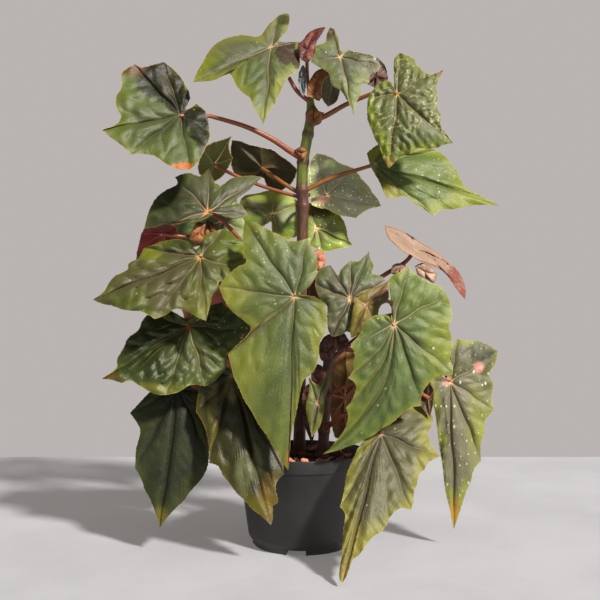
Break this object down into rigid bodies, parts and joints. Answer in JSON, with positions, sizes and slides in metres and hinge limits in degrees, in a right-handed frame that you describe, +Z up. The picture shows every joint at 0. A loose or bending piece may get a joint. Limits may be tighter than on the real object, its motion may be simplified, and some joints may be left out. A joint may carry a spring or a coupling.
{
  "type": "potted begonia",
  "caption": "Leafy begonia with lobed, pointed, pale-spotted leaves on upright canes, rooted in soil in a tapered round nursery pot.",
  "frame": {"origin": "middle of the pot's underside, on the surface it stands on", "axes": "+Z up along the pot's axis, -Y towards the side with the large hanging leaves, +X to that side's right"},
  "size_m": [0.3894, 0.2538, 0.5321],
  "materials": {
    "pot_plastic": "black moulded plastic with a soft sheen",
    "soil": "dark crumbly potting mix of peat and bark",
    "bark": "smooth cane, green above and red-brown below, with ringed nodes",
    "leaf": "quilted green blade with smoky veins, pale dots and a red underside",
    "dry_sheath": "papery brown stipule",
    "dry_leaf": "curled dry leaf scrap"
  },
  "bodies": {
    "root": {"apex_sheath": "dry_sheath", "apex_strip": "dry_sheath", "cane_left": "bark", "cane_main": "bark", "cane_right": "bark", "curl_sheath": "dry_sheath", "curled_leaf": "leaf", "dry_scrap_1": "dry_leaf", "dry_scrap_2": "dry_leaf", "dry_scrap_3": "dry_leaf", "dry_scrap_4": "dry_leaf", "dry_scrap_5": "dry_leaf", "dry_scrap_6": "dry_leaf", "dry_scrap_7": "dry_leaf", "leaf_01": "leaf", "leaf_02": "leaf", "leaf_03": "leaf", "leaf_04": "leaf", "leaf_05": "leaf", "leaf_06": "leaf", "leaf_07": "leaf", "leaf_08": "leaf", "leaf_09": "leaf", "leaf_10": "leaf", "leaf_11": "leaf", "leaf_12": "leaf", "leaf_13": "leaf", "leaf_14": "leaf", "leaf_15": "leaf", "leaf_16": "leaf", "leaf_17": "leaf", "leaf_18": "leaf", "leaf_19": "leaf", "leaf_20": "leaf", "leaf_21": "leaf", "leaf_22": "leaf", "leaf_23": "leaf", "leaf_24": "leaf", "leaf_25": "leaf", "leaf_26": "leaf", "leaf_27": "leaf", "leaf_28": "leaf", "leaf_29": "leaf", "leaf_30": "leaf", "leaf_31": "leaf", "left_sheath_1": "dry_sheath", "left_sheath_2": "dry_sheath", "node_sheath_1": "dry_sheath", "node_sheath_2": "dry_sheath", "petiole_scrap_1": "dry_sheath", "petiole_scrap_2": "dry_sheath", "petiole_scrap_3": "dry_sheath", "pot": "pot_plastic", "potting_soil": "soil", "right_sheath_1": "dry_sheath", "right_sheath_2": "dry_sheath", "right_sheath_3": "dry_sheath", "right_sheath_4": "dry_sheath", "young_leaf": "leaf"}
  },
  "joints": []
}
